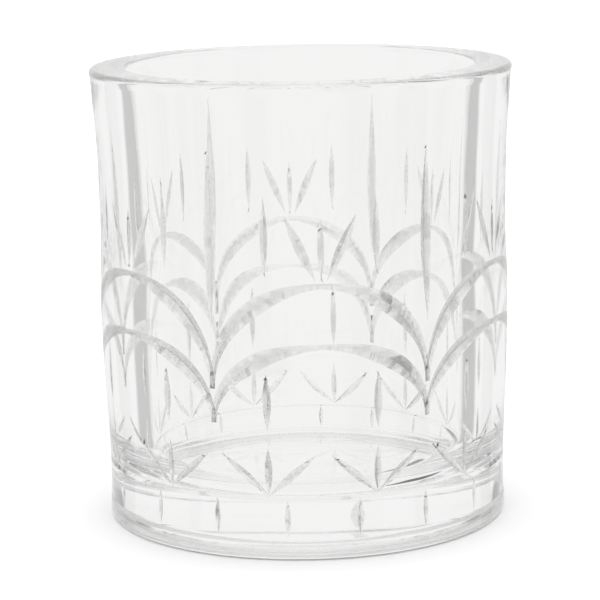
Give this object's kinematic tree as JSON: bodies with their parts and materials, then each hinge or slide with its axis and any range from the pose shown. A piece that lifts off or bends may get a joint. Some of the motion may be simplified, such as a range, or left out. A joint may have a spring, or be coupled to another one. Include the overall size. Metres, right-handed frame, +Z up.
{
  "type": "whiskey tumbler",
  "caption": "Clear cut-glass whiskey tumbler with a heavy base, nested arches and upright spear cuts around the wall.",
  "frame": {"origin": "centre of the foot, on the plane that the tumbler stands on", "axes": "+Z up along the cup's axis, the mouth at the top; -Y is the front"},
  "size_m": [0.088, 0.088, 0.095],
  "materials": {
    "glass": "gloss"
  },
  "bodies": {
    "root": {"tumbler": "glass"}
  },
  "joints": []
}
